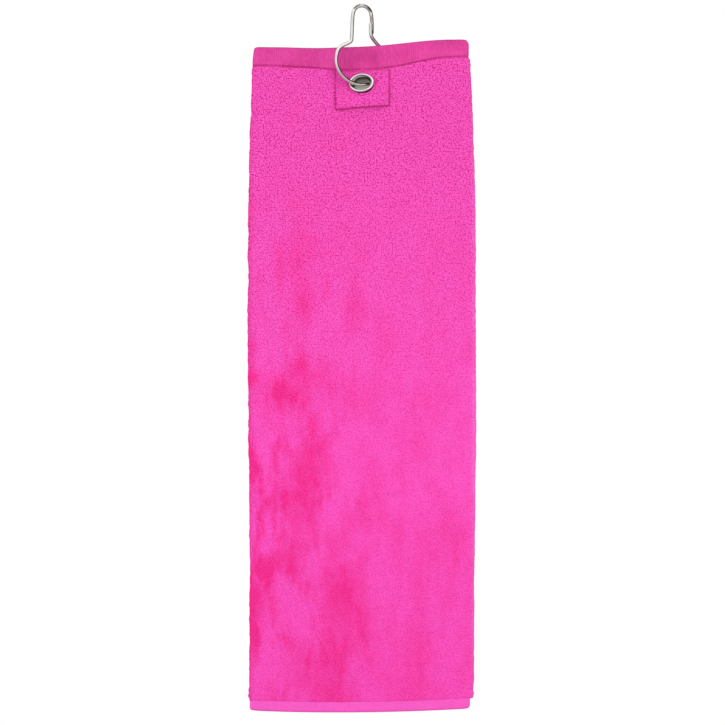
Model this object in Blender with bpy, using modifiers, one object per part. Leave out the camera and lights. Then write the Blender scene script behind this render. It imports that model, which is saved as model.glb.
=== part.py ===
"""Golf towel folded in three, hung by an eyelet on a sprung wire clip.

Metres, +Z up, the towel's front towards -Y. The origin is the inner top of the clip's bow,
which is the point that it hangs by.
"""

import math

import bmesh
import bpy
from mathutils import Euler, Matrix, Vector

MM = 0.001
GAP = 0.3 * MM

# Towel, folded lengthwise in three. Heights are negative because it hangs from the origin.
PILE_LEFT = -85.2 * MM
PILE_RIGHT = 85.7 * MM
PILE_HALF = 4.35 * MM
PILE_BOTTOM = -520.6 * MM
LAYER_PITCH = 2.9 * MM
LOOSE_FROM = -86 * MM

# The flat-woven band along the top edge, which rises to the right.
BAND_LEFT = -81.8 * MM
BAND_RIGHT = 80.2 * MM
BAND_HALF = 2.4 * MM
BAND_TOP = -30.4 * MM
BAND_TOP_RISE = 6.1 * MM
BAND_FOOT = -45.6 * MM
BAND_FOOT_RISE = 7.6 * MM
RISE_FROM = -13 * MM
RISE_TO = 68 * MM

# The band's lower seam wavers: where, how wide and how high each wave is.
SEAM_WAVES = (
    (20 * MM, 30 * MM, -3.1 * MM),
    (-20 * MM, 12 * MM, -1.2 * MM),
    (-76 * MM, 14 * MM, 1.1 * MM),
)

# The narrow hem along the bottom edge.
HEM_LEFT = -84.0 * MM
HEM_RIGHT = 81.0 * MM
HEM_HALF = 3.5 * MM
HEM_BOTTOM = -528.0 * MM

# The eyelet, set in a pinched and tilted dish of cloth.
EYELET_CENTRE = Vector((0.0, -0.5 * MM, -57.5 * MM))
EYELET_PITCH = math.radians(24)
EYELET_YAW = math.radians(12)
EYELET_OVAL = 0.81
MOUTH_RADIUS = 8.5 * MM
THROAT_RADIUS = 5.7 * MM
BARREL_RADIUS = 7.7 * MM
FLANGE_RADIUS = 9.75 * MM
WASHER_RADIUS = 10.2 * MM
PINCHED_HALF = 0.9 * MM
DISH_FLAT = 11 * MM
DISH_EDGE = 25 * MM
PATCH_THICKNESS = 1.4 * MM
PATCH_PINCHED = 0.5
FLANGE_SEAT = PINCHED_HALF + PATCH_THICKNESS * PATCH_PINCHED + 2.4 * GAP
WASHER_SEAT = -PINCHED_HALF - 1.4 * GAP

# The square of cloth sewn under the eyelet.
PATCH_LEFT = -20.4 * MM
PATCH_RIGHT = 21.0 * MM
PATCH_BOTTOM_LEFT = -77.4 * MM
PATCH_BOTTOM_RIGHT = -74.2 * MM

# Sewing thread, a needle thread in front and a bobbin thread behind along each seam.
THREAD_RADIUS = 0.3 * MM
THREAD_STEP = 4 * MM
SEAM_INSET = 1.4 * MM

# Wire clip, bent in one plane that is turned about Z: along is across that plane.
CLIP_YAW = math.radians(26)
WIRE_RADIUS = 1.4 * MM
RING_CENTRE = -39.8 * MM
RING_HALF_WIDTH = 21.5 * MM
RING_HALF_HEIGHT = 18.2 * MM
BOW_CENTRE = 0.1 * MM
BOW_HALF_WIDTH = 7.7 * MM
BOW_SPRING_LINE = -6.0 * MM
BOW_HEIGHT = 7.4 * MM
FLEX_ANGLE = math.radians(-45)
FLEX_GAP = 0.6 * MM


def clear_scene():
    for old in list(bpy.data.objects):
        bpy.data.objects.remove(old)


def new_collection(name):
    collection = bpy.data.collections.new(name)
    bpy.context.scene.collection.children.link(collection)
    return collection


def material(name, colour, roughness, metallic=0.0):
    """A Principled BSDF with the part's own colour and finish."""
    made = bpy.data.materials.new(name)
    made.use_nodes = True
    shader = made.node_tree.nodes["Principled BSDF"]
    shader.inputs["Base Color"].default_value = (*colour, 1.0)
    shader.inputs["Roughness"].default_value = roughness
    shader.inputs["Metallic"].default_value = metallic
    return made


def add_object(name, data, collection, finish=None):
    made = bpy.data.objects.new(name, data)
    collection.objects.link(made)
    if finish is not None:
        data.materials.append(finish)
    return made


def turn_about(place, name, pieces, collection):
    """Parents the pieces to an empty on their joint's axis, and leaves them where they are."""
    pivot = add_object(name, None, collection)
    pivot.location = place
    for piece in pieces:
        piece.parent = pivot
        piece.matrix_parent_inverse = Matrix.Translation(place).inverted()


def as_cutter(piece):
    piece.hide_render = True
    piece.display_type = "WIRE"
    return piece


def cut(piece, cutter):
    """Takes the cutter's shape out of the piece."""
    step = piece.modifiers.new("cut_" + cutter.name, "BOOLEAN")
    step.operation = "DIFFERENCE"
    step.object = cutter


def smooth(t):
    """0 before 0, 1 after 1 and an even curve between them."""
    t = min(max(t, 0.0), 1.0)
    return t * t * (3.0 - 2.0 * t)


def rise(x):
    return smooth((x - RISE_FROM) / (RISE_TO - RISE_FROM))


def band_top(x):
    return BAND_TOP + BAND_TOP_RISE * rise(x)


def band_foot(x):
    waves = sum(height * math.exp(-(((x - place) / width) ** 2)) for place, width, height in SEAM_WAVES)
    return BAND_FOOT + BAND_FOOT_RISE * rise(x) + waves


def pinch(x, z):
    """1 where the eyelet clamps the cloth, fading to 0 at the edge of the dish."""
    reach = math.hypot(x - EYELET_CENTRE.x, z - EYELET_CENTRE.z)
    return 1.0 - smooth((reach - DISH_FLAT) / (DISH_EDGE - DISH_FLAT))


def middle(x, z):
    """The depth of the cloth's middle, which tilts with the eyelet inside the dish."""
    across = -math.tan(EYELET_YAW) * (x - EYELET_CENTRE.x)
    upward = math.tan(EYELET_PITCH) / math.cos(EYELET_YAW) * (z - EYELET_CENTRE.z)
    return pinch(x, z) * (EYELET_CENTRE.y + across + upward)


def half_thickness(x, z, full):
    """Half the folded cloth's thickness, which the eyelet squeezes."""
    return full + (PINCHED_HALF - full) * pinch(x, z)


def sheet(name, across, down, columns, rows, finish, collection, surface, factor, thickness, offset):
    """A grid laid on surface(x, z) and thickened.

    across(u) gives x for u in 0..1, and down(x, v) gives z for v in 0..1. factor(x, z) is the
    share of the thickness that each place keeps.
    """
    mesh = bpy.data.meshes.new(name)
    grid = bmesh.new()
    bmesh.ops.create_grid(grid, x_segments=columns, y_segments=rows, size=1.0)
    for vert in grid.verts:
        x = across((vert.co.x + 1.0) / 2.0)
        z = down(x, (1.0 - vert.co.y) / 2.0)
        vert.co = (x, surface(x, z), z)
    bmesh.ops.recalc_face_normals(grid, faces=grid.faces)
    if grid.faces[0].normal.y > 0.0:
        bmesh.ops.reverse_faces(grid, faces=grid.faces)
    grid.to_mesh(mesh)
    grid.free()
    piece = add_object(name, mesh, collection, finish)
    group = piece.vertex_groups.new(name="thickness")
    for vert in mesh.vertices:
        group.add([vert.index], factor(vert.co.x, vert.co.z), "REPLACE")
    step = piece.modifiers.new("thicken", "SOLIDIFY")
    step.thickness = thickness
    step.offset = offset
    step.vertex_group = group.name
    return piece


def spread(low, high, centre_share):
    """Maps 0..1 to low..high with the steps closer together in the middle."""

    def place(u):
        even = 2.0 * u - 1.0
        bunched = centre_share * even + (1.0 - centre_share) * even**3
        return low + (high - low) * (bunched + 1.0) / 2.0

    return place


def eyelet_frame():
    turn = Euler((math.pi / 2 - EYELET_PITCH, 0.0, -EYELET_YAW)).to_matrix().to_4x4()
    return Matrix.Translation(EYELET_CENTRE) @ turn


def turned(name, profile, steps, finish, collection):
    """A closed profile of (radius, height) turned about Z and made oval, in the eyelet's frame."""
    mesh = bpy.data.meshes.new(name)
    count = len(profile)
    mesh.from_pydata(
        [(radius, 0.0, height) for radius, height in profile],
        [(i, (i + 1) % count) for i in range(count)],
        [],
    )
    source = add_object(name + "_profile", mesh, collection)
    step = source.modifiers.new("turn", "SCREW")
    step.steps = steps
    step.render_steps = steps
    step.use_merge_vertices = True
    step.merge_threshold = 0.01 * MM
    bpy.context.view_layer.update()
    graph = bpy.context.evaluated_depsgraph_get()
    shape = bpy.data.meshes.new_from_object(source.evaluated_get(graph))
    bpy.data.objects.remove(source)
    shape.name = name
    shape.transform(Matrix.Diagonal((1.0, EYELET_OVAL, 1.0, 1.0)))
    shape.shade_smooth()
    shape.set_sharp_from_angle(angle=math.radians(50))
    piece = add_object(name, shape, collection, finish)
    piece.matrix_world = eyelet_frame()
    return piece


def make_disc_cutter(name, radius, low, high, collection):
    """An oval disc in the eyelet's frame, between two heights along its axis."""
    mesh = bpy.data.meshes.new(name)
    tool = bmesh.new()
    bmesh.ops.create_cone(
        tool, cap_ends=True, segments=32, radius1=radius, radius2=radius, depth=high - low
    )
    tool.to_mesh(mesh)
    tool.free()
    mesh.transform(Matrix.Translation((0.0, 0.0, (low + high) / 2)))
    mesh.transform(Matrix.Diagonal((1.0, EYELET_OVAL, 1.0, 1.0)))
    piece = add_object(name, mesh, collection)
    piece.matrix_world = eyelet_frame()
    return as_cutter(piece)


def make_eyelet_room(cutters):
    """What the cloth and the patch leave free for the barrel, the flange and the washer."""
    reach = 20 * MM
    return [
        make_disc_cutter("barrel_room", BARREL_RADIUS + GAP, -reach, reach, cutters),
        make_disc_cutter("flange_room", FLANGE_RADIUS + GAP, FLANGE_SEAT - GAP, reach, cutters),
        make_disc_cutter("washer_room", WASHER_RADIUS + GAP, -reach, WASHER_SEAT + GAP, cutters),
    ]


def make_box_cutter(name, low, high, collection):
    mesh = bpy.data.meshes.new(name)
    tool = bmesh.new()
    bmesh.ops.create_cube(tool, size=1.0)
    size = Vector(high) - Vector(low)
    for vert in tool.verts:
        vert.co = Vector(low) + Vector([(c + 0.5) * s for c, s in zip(vert.co, size)])
    tool.to_mesh(mesh)
    tool.free()
    return as_cutter(add_object(name, mesh, collection))


def cut_folds(piece, left, right, cutters):
    """Parts the three layers below the patch, leaving the fold at each side."""
    slit = GAP / 2
    place = LAYER_PITCH / 2
    over = 10 * MM
    top = LOOSE_FROM
    bottom = HEM_BOTTOM - over
    front = make_box_cutter(
        piece.name + "_front_slit",
        (left - over, -place - slit, bottom),
        (right - LAYER_PITCH, -place + slit, top),
        cutters,
    )
    back = make_box_cutter(
        piece.name + "_back_slit",
        (left + LAYER_PITCH, place - slit, bottom),
        (right + over, place + slit, top),
        cutters,
    )
    cut(piece, front)
    cut(piece, back)


def make_cloth(finish, parts, cutters, eyelet_room):
    """The pile cloth between the top band and the bottom hem."""

    def down(x, v):
        top = band_foot(x) - GAP
        share = 0.2 * v + 0.8 * v**3
        return top + (PILE_BOTTOM - top) * share

    cloth = sheet(
        "towel_cloth",
        spread(PILE_LEFT, PILE_RIGHT, 0.35),
        down,
        24,
        28,
        finish,
        parts,
        middle,
        lambda x, z: half_thickness(x, z, PILE_HALF) / PILE_HALF,
        2 * PILE_HALF,
        0.0,
    )
    for room in (make_patch_room(cutters), make_band_room(cutters), *eyelet_room):
        cut(cloth, room)
    cut_folds(cloth, PILE_LEFT, PILE_RIGHT, cutters)
    return cloth


def band_sheet(name, longer, thicker, finish, collection):
    """The top band, or the room for it when it is made longer at the foot and thicker."""
    half = BAND_HALF + thicker
    return sheet(
        name,
        spread(BAND_LEFT - longer, BAND_RIGHT + longer, 0.35),
        lambda x, v: band_top(x) + (band_foot(x) - longer - band_top(x)) * v,
        22,
        4,
        finish,
        collection,
        middle,
        lambda x, z: half_thickness(x, z, half) / half,
        2 * half,
        0.0,
    )


def make_band_room(cutters):
    return as_cutter(band_sheet("band_room", GAP, GAP, None, cutters))


def make_top_band(finish, parts):
    return band_sheet("top_hem", 0.0, 0.0, finish, parts)


def make_bottom_hem(finish, parts, cutters):
    hem = sheet(
        "bottom_hem",
        spread(HEM_LEFT, HEM_RIGHT, 1.0),
        lambda x, v: PILE_BOTTOM - GAP + (HEM_BOTTOM - PILE_BOTTOM + GAP) * v,
        6,
        1,
        finish,
        parts,
        lambda x, z: 0.0,
        lambda x, z: 1.0,
        2 * HEM_HALF,
        0.0,
    )
    cut_folds(hem, HEM_LEFT, HEM_RIGHT, cutters)
    return hem


def patch_share(x, z):
    return 1.0 - (1.0 - PATCH_PINCHED) * pinch(x, z)


def patch_inner(x, z):
    return middle(x, z) - half_thickness(x, z, PILE_HALF) - GAP


def patch_foot(x):
    share = (x - PATCH_LEFT) / (PATCH_RIGHT - PATCH_LEFT)
    return PATCH_BOTTOM_LEFT + (PATCH_BOTTOM_RIGHT - PATCH_BOTTOM_LEFT) * share


def patch_sheet(name, deeper, thickness, finish, collection):
    """The patch, or the room for it when its inner face is set deeper."""

    def down(x, v):
        top = band_foot(x) - 2 * GAP + deeper
        return top + (patch_foot(x) - deeper - top) * v

    return sheet(
        name,
        spread(PATCH_LEFT - deeper, PATCH_RIGHT + deeper, 1.0),
        down,
        12,
        10,
        finish,
        collection,
        lambda x, z: patch_inner(x, z) + deeper,
        patch_share,
        thickness,
        1.0,
    )


def make_patch_room(cutters):
    return as_cutter(patch_sheet("patch_room", GAP, 8 * MM, None, cutters))


def make_patch(finish, parts, eyelet_room):
    patch = patch_sheet("eyelet_patch", 0.0, PATCH_THICKNESS, finish, parts)
    for room in eyelet_room:
        cut(patch, room)
    return patch


def make_eyelet(finish, parts):
    """The front half: a rounded rim that runs down into the throat, and a lip rolled out behind."""
    front = FLANGE_SEAT
    back = WASHER_SEAT - GAP
    profile = [
        (THROAT_RADIUS + 0.3 * MM, front - 2.1 * MM),
        (THROAT_RADIUS + 0.9 * MM, front - 1.1 * MM),
        (MOUTH_RADIUS - 1.0 * MM, front - 0.1 * MM),
        (MOUTH_RADIUS - 0.5 * MM, front + 0.5 * MM),
        (MOUTH_RADIUS, front + 0.8 * MM),
        (FLANGE_RADIUS - 0.6 * MM, front + 0.75 * MM),
        (FLANGE_RADIUS - 0.15 * MM, front + 0.4 * MM),
        (FLANGE_RADIUS, front),
        (BARREL_RADIUS, front),
        (BARREL_RADIUS, back - 0.7 * MM),
        (BARREL_RADIUS + 0.9 * MM, back - 0.7 * MM),
        (BARREL_RADIUS + 0.8 * MM, back - 1.05 * MM),
        (BARREL_RADIUS + 0.1 * MM, back - 1.3 * MM),
        (THROAT_RADIUS + 0.8 * MM, back - 1.0 * MM),
        (THROAT_RADIUS, back),
        (THROAT_RADIUS, front - 3.4 * MM),
    ]
    return turned("eyelet", profile, 32, finish, parts)


def make_washer(finish, parts):
    """The ring behind the cloth that the eyelet's lip is rolled over."""
    inner = BARREL_RADIUS + GAP
    profile = [
        (inner, WASHER_SEAT),
        (WASHER_RADIUS - 0.3 * MM, WASHER_SEAT),
        (WASHER_RADIUS, WASHER_SEAT - 0.25 * MM),
        (WASHER_RADIUS - 0.3 * MM, WASHER_SEAT - 0.5 * MM),
        (inner, WASHER_SEAT - 0.5 * MM),
    ]
    return turned("eyelet_washer", profile, 32, finish, parts)


def clip_place(along, height, depth=0.0):
    """A place on the clip: along its plane, up, and depth behind the plane."""
    return Vector(
        (
            along * math.cos(CLIP_YAW) - depth * math.sin(CLIP_YAW),
            along * math.sin(CLIP_YAW) + depth * math.cos(CLIP_YAW),
            height,
        )
    )


def ring_place(angle):
    return clip_place(
        RING_HALF_WIDTH * math.cos(angle), RING_CENTRE + RING_HALF_HEIGHT * math.sin(angle)
    )


def bow_place(angle):
    return clip_place(
        BOW_CENTRE + BOW_HALF_WIDTH * math.cos(angle), BOW_SPRING_LINE + BOW_HEIGHT * math.sin(angle)
    )


def arc(place, first, last, steps):
    """Places from the first angle to the last, in degrees."""
    return [place(math.radians(first + (last - first) * i / steps)) for i in range(steps + 1)]


def hook_route():
    """From the nose, over the bow, down the left leg and round the ring to the flex point."""
    gap_angle = math.degrees(0.5 * FLEX_GAP / RING_HALF_HEIGHT)
    nose = [
        clip_place(9.1 * MM, -18.6 * MM, 1.85 * MM),
        clip_place(9.2 * MM, -16.2 * MM, 1.85 * MM),
        clip_place(9.25 * MM, -13.5 * MM, 1.85 * MM),
        clip_place(8.95 * MM, -10.0 * MM, 1.4 * MM),
    ]
    leg = [
        clip_place(-7.9 * MM, -10.0 * MM),
        clip_place(-8.3 * MM, -14.0 * MM),
        clip_place(-9.2 * MM, -22.5 * MM),
        clip_place(-9.8 * MM, -25.4 * MM),
        clip_place(-12.2 * MM, -27.4 * MM),
        clip_place(-15.8 * MM, -29.0 * MM),
    ]
    ring = arc(ring_place, 152, 360 + math.degrees(FLEX_ANGLE) - gap_angle, 11)
    return nose + arc(bow_place, 0, 180, 6) + leg + ring


def gate_route():
    """From the flex point up the right of the ring to the free end inside the nose."""
    gap_angle = math.degrees(0.5 * FLEX_GAP / RING_HALF_HEIGHT)
    ring = arc(ring_place, math.degrees(FLEX_ANGLE) + gap_angle, 24, 6)
    end = [
        clip_place(14.2 * MM, -28.4 * MM),
        clip_place(10.0 * MM, -24.4 * MM, -0.3 * MM),
        clip_place(7.4 * MM, -21.5 * MM, -1.1 * MM),
        clip_place(6.75 * MM, -19.0 * MM, -1.4 * MM),
        clip_place(6.6 * MM, -15.6 * MM, -1.4 * MM),
        clip_place(6.55 * MM, -12.4 * MM, -1.4 * MM),
    ]
    return ring + end


def smooth_route(points, steps):
    """A Catmull-Rom curve through the points."""
    padded = [2 * points[0] - points[1], *points, 2 * points[-1] - points[-2]]
    route = []
    for a, b, c, d in zip(padded, padded[1:], padded[2:], padded[3:]):
        for i in range(steps):
            t = i / steps
            route.append(
                0.5
                * (
                    2 * b
                    + (c - a) * t
                    + (2 * a - 5 * b + 4 * c - d) * t * t
                    + (3 * b - a - 3 * c + d) * t**3
                )
            )
    route.append(points[-1])
    return route


def make_tube(name, route, radius, resolution, finish, parts):
    """A round tube with closed ends along the route."""
    curve = bpy.data.curves.new(name, "CURVE")
    curve.dimensions = "3D"
    curve.bevel_depth = radius
    curve.bevel_resolution = resolution
    curve.use_fill_caps = True
    spline = curve.splines.new("POLY")
    spline.points.add(len(route) - 1)
    for point, place in zip(spline.points, route):
        point.co = (*place, 1.0)
    return add_object(name, curve, parts, finish)


def make_wire(name, points, finish, parts):
    return make_tube(name, smooth_route(points, 2), WIRE_RADIUS, 2, finish, parts)


def make_thread(name, corners, surface, side, clear, finish, parts):
    """One continuous thread laid clear of surface(x, z) through the corners."""
    off = side * (clear + THREAD_RADIUS)
    route = []
    for start, end in zip(corners, corners[1:]):
        count = max(1, round(math.dist(start, end) / THREAD_STEP))
        for i in range(count):
            x = start[0] + (end[0] - start[0]) * i / count
            z = start[1] + (end[1] - start[1]) * i / count
            route.append((x, surface(x, z) + off, z))
    x, z = corners[-1]
    route.append((x, surface(x, z) + off, z))
    return make_tube(name, route, THREAD_RADIUS, 0, finish, parts)


def make_band_threads(finish, parts):
    """The needle thread in front and the bobbin thread behind, just above the band's foot."""
    inset = THREAD_RADIUS + GAP
    points = 12
    corners = []
    for i in range(points + 1):
        x = BAND_LEFT + inset + (BAND_RIGHT - BAND_LEFT - 2 * inset) * i / points
        corners.append((x, band_foot(x) + SEAM_INSET))

    def front(x, z):
        return middle(x, z) - half_thickness(x, z, BAND_HALF)

    def back(x, z):
        return middle(x, z) + half_thickness(x, z, BAND_HALF)

    return [
        make_thread("top_hem_needle_thread", corners, front, -1, 3 * GAP, finish, parts),
        make_thread("top_hem_bobbin_thread", corners, back, 1, 3 * GAP, finish, parts),
    ]


def make_hem_threads(finish, parts):
    inset = THREAD_RADIUS + GAP
    height = PILE_BOTTOM - SEAM_INSET
    corners = [(HEM_LEFT + inset, height), (HEM_RIGHT - inset, height)]
    return [
        make_thread(name, corners, lambda x, z: side * HEM_HALF, side, GAP, finish, parts)
        for name, side in (("bottom_hem_needle_thread", -1), ("bottom_hem_bobbin_thread", 1))
    ]


def make_patch_threads(finish, parts):
    """Three sides of the patch in front, and the same seam where it shows behind."""
    left = PATCH_LEFT + SEAM_INSET
    right = PATCH_RIGHT - SEAM_INSET
    corners = [
        (left, band_foot(left) - SEAM_INSET),
        (left, patch_foot(left) + SEAM_INSET),
        (right, patch_foot(right) + SEAM_INSET),
        (right, band_foot(right) - SEAM_INSET),
    ]

    def front(x, z):
        return patch_inner(x, z) - PATCH_THICKNESS * patch_share(x, z)

    def back(x, z):
        return middle(x, z) + half_thickness(x, z, PILE_HALF)

    return [
        make_thread("patch_needle_thread", corners, front, -1, 3 * GAP, finish, parts),
        make_thread("patch_bobbin_thread", corners, back, 1, 6 * GAP, finish, parts),
    ]


def main():
    clear_scene()
    parts = new_collection("golf_towel")
    cutters = new_collection("cutters")
    pile = material("pile", (0.88, 0.05, 0.42), 0.95)
    woven = material("woven_band", (0.72, 0.06, 0.32), 0.85)
    thread = material("thread", (0.70, 0.04, 0.30), 0.7)
    nickel = material("nickel", (0.80, 0.79, 0.76), 0.18, 1.0)
    eyelet_room = make_eyelet_room(cutters)
    towel = [
        make_cloth(pile, parts, cutters, eyelet_room),
        make_top_band(woven, parts),
        make_bottom_hem(woven, parts, cutters),
        make_patch(pile, parts, eyelet_room),
        make_eyelet(nickel, parts),
        make_washer(nickel, parts),
        *make_band_threads(thread, parts),
        *make_hem_threads(thread, parts),
        *make_patch_threads(thread, parts),
    ]
    turn_about(Vector((0.0, 0.0, EYELET_CENTRE.z)), "swivel_axis", towel, parts)
    make_wire("clip_hook", hook_route(), nickel, parts)
    gate = make_wire("clip_gate", gate_route(), nickel, parts)
    turn_about(ring_place(FLEX_ANGLE), "flex_axis", [gate], parts)


main()
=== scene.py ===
"""The looks of a folded golf towel on a wire clip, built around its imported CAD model.

Shapes are worked out in millimetres, in the CAD frame: +Z up, the towel's front towards -Y,
the origin at the inner top of the clip's bow. new_mesh() turns them into metres.
"""

import math

import bpy
import numpy as np
from mathutils import Euler, Matrix, Vector


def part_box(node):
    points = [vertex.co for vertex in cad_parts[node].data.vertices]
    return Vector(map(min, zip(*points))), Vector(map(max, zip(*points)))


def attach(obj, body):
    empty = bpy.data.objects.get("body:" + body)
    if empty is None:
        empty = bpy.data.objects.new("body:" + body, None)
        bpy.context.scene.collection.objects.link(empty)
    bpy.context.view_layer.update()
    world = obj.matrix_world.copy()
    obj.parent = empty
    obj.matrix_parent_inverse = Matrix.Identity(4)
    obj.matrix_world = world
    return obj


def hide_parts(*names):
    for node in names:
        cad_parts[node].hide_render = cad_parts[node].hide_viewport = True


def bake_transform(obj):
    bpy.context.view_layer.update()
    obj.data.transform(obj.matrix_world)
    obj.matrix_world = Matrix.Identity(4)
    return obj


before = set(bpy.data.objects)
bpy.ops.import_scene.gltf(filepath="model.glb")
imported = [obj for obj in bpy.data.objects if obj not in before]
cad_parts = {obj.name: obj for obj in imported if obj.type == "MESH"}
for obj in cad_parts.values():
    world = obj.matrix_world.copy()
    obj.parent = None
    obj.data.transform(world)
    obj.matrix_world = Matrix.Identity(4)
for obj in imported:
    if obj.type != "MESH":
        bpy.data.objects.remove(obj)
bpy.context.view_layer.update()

MM = 0.001


def box_mm(node):
    """A CAD node's lowest and highest corners, in millimetres."""
    low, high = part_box(node)
    return np.array(low) / MM, np.array(high) / MM


CLOTH_LOW, CLOTH_HIGH = box_mm("towel_cloth")
BAND_LOW, BAND_HIGH = box_mm("top_hem")
HEM_LOW, HEM_HIGH = box_mm("bottom_hem")

# Folded cloth. Each layer has a half thickness, and the layers lie a pitch apart.
PILE_HALF = 4.35
PILE_PITCH = 2.9
PILE_LAYER_HALF = 1.32
PILE_FOOT = -520.6
BAND_HALF = 2.4
BAND_PITCH = 1.6
BAND_LAYER_HALF = 0.72
HEM_PITCH = 2.3
HEM_LAYER_HALF = 1.1
END_TUCK = 0.9
ROUND_END = 7

# The pile's height off its cloth from the deepest groove to the longest loop, for the painted shade in its
# hollows.
PILE_LOWEST = -0.35
PILE_HIGHEST = 0.45

# The top edge and the band's foot below it both rise to the right. The foot waves too: each
# wave has its place, width and height.
RISE_FROM = -13.0
RISE_TO = 68.0
BAND_TOP = -30.4
BAND_TOP_RISE = 6.1
BAND_FOOT = -45.6
BAND_FOOT_RISE = 7.6
SEAM_WAVES = ((20.0, 30.0, -3.1), (-20.0, 12.0, -1.2), (-76.0, 14.0, 1.1))
SEAM_ABOVE_FOOT = 1.1

# The towel bulges a little below its top and narrows again: how far below the origin, how far across.
LEFT_EDGE = ((45, -82.3), (130, -85.0), (260, -85.7), (420, -84.2), (521, -84.6))
RIGHT_EDGE = ((38, 81.0), (92, 83.4), (150, 85.3), (330, 85.6), (440, 84.1), (505, 84.0), (521, 83.0))

# The eyelet's place, tilt and oval shape, as in the CAD.
EYELET = np.array([0.0, -0.5, -57.5])
EYELET_PITCH = math.radians(24)
EYELET_YAW = math.radians(12)
EYELET_OVAL = 0.81
MOUTH_RADIUS = 8.5
THROAT_RADIUS = 5.7
BARREL_RADIUS = 7.7
FLANGE_RADIUS = 9.75
WASHER_RADIUS = 10.2
PINCHED_HALF = 0.9
DISH_FLAT = 11.0
DISH_EDGE = 25.0
CLOTH_HOLE = 8.5

# The sewn square.
PATCH_LEFT = -20.4
PATCH_RIGHT = 21.0
PATCH_FOOT_LEFT = -77.4
PATCH_FOOT_RIGHT = -74.2
PATCH_THICKNESS = 1.4
PATCH_PINCHED = 0.5
PATCH_LIFT = 0.3

# The wire clip, bent in a plane turned about Z.
CLIP_YAW = math.radians(26)
WIRE_RADIUS = 1.4
RING_CENTRE = -39.8
RING_HALF_WIDTH = 21.5
RING_HALF_HEIGHT = 18.2
BOW_CENTRE = 0.1
BOW_HALF_WIDTH = 7.7
BOW_SPRING_LINE = -6.0
BOW_HEIGHT = 7.4

# Camera.
VIEW_CENTRE = (0.4, -266.2)
VIEW_SIDE = 543.8
CAMERA_DISTANCE = 2600.0
SENSOR = 36.0


# ---------------------------------------------------------------- helpers


def smooth(t):
    t = np.clip(t, 0.0, 1.0)
    return t * t * (3.0 - 2.0 * t)


def noise(x, y, size, seed, ratio=1.0):
    """Smooth random values of -1..1 over x and y, with features of that size.

    ratio is how many times longer a feature is in y than in x.
    """
    u = np.asarray(x, float) / size + 4096.0
    v = np.asarray(y, float) / (size * ratio) + 4096.0
    iu = np.floor(u).astype(np.int64)
    iv = np.floor(v).astype(np.int64)
    fu = smooth(u - iu)
    fv = smooth(v - iv)

    def at(i, j):
        h = (i * 374761393 + j * 668265263 + seed * 144269504) & 0xFFFFFFFF
        h = ((h ^ (h >> 13)) * 1274126177) & 0xFFFFFFFF
        h = ((h ^ (h >> 16)) * 2246822519) & 0xFFFFFFFF
        return ((h ^ (h >> 15)) & 0xFFFF) / 32767.5 - 1.0

    top = at(iu, iv) * (1 - fu) + at(iu + 1, iv) * fu
    low = at(iu, iv + 1) * (1 - fu) + at(iu + 1, iv + 1) * fu
    return top * (1 - fv) + low * fv


def new_mesh(name, points, faces, finish, attributes=None, flat=False):
    """An object from points in millimetres."""
    mesh = bpy.data.meshes.new(name)
    mesh.from_pydata((np.asarray(points, float) * MM).tolist(), [], faces)
    mesh.materials.append(finish)
    if not flat:
        mesh.shade_smooth()
    for key, values in (attributes or {}).items():
        layer = mesh.attributes.new(key, "FLOAT", "POINT")
        layer.data.foreach_set("value", np.asarray(values, np.float32).ravel())
    mesh.update()
    made = bpy.data.objects.new(name, mesh)
    bpy.context.scene.collection.objects.link(made)
    return made


def grid_faces(rows, columns, closed=False):
    """Quads between neighbouring rows; closed joins the last column to the first."""
    across = columns if closed else columns - 1
    i, j = np.meshgrid(np.arange(rows - 1), np.arange(across), indexing="ij")
    k = (j + 1) % columns
    quads = np.stack(
        [i * columns + j, (i + 1) * columns + j, (i + 1) * columns + k, i * columns + k], axis=-1
    )
    return quads.reshape(-1, 4)


def band_rise(x):
    return smooth((x - RISE_FROM) / (RISE_TO - RISE_FROM))


def band_top(x):
    return BAND_TOP + BAND_TOP_RISE * band_rise(x)


def band_foot(x):
    waves = sum(height * np.exp(-(((x - place) / width) ** 2)) for place, width, height in SEAM_WAVES)
    return BAND_FOOT + BAND_FOOT_RISE * band_rise(x) + waves


def bottom_bow(x):
    """How far the bottom edge rises towards its ends."""
    return 2.9 * ((x + 20.0) / 100.0) ** 2 - 0.4


def pinch(x, z):
    reach = np.hypot(x - EYELET[0], z - EYELET[2])
    return 1.0 - smooth((reach - DISH_FLAT) / (DISH_EDGE - DISH_FLAT))


def middle(x, z):
    """The cloth's middle surface. It leans with the eyelet, further up than down."""
    reach = np.hypot(x - EYELET[0], z - EYELET[2])
    edge = DISH_EDGE + 5.0 * smooth((z - EYELET[2]) / 14.0)
    lean = 1.0 - smooth((reach - DISH_FLAT) / (edge - DISH_FLAT))
    across = -math.tan(EYELET_YAW) * (x - EYELET[0])
    upward = math.tan(EYELET_PITCH) / math.cos(EYELET_YAW) * (z - EYELET[2])
    return lean * (EYELET[1] + across + upward)


def half_thickness(x, z, full):
    return full + (PINCHED_HALF - full) * pinch(x, z)


def sway(x, z):
    """The folded cloth's own gentle waves, which leave its top as it is."""
    down = smooth((-z - 90.0) / 120.0)
    wave = 0.5 * noise(x, z, 70.0, 5, 1.3) + 0.25 * noise(x, z, 31.0, 6, 1.4)
    return down * wave


def crease(x, z):
    """The soft line where the towel was once folded across."""
    line = -283.0 + 0.03 * x + 2.5 * noise(x, 0.0 * z, 40.0, 8)
    near = (z - line) / 7.0
    return -0.55 * np.exp(-near * near) + 0.35 * np.exp(-((near - 2.2) ** 2))


def tuft(z, place):
    """Where a few loops stick out of the edge."""
    return np.exp(-(((z - place) / 1.3) ** 2))


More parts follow.
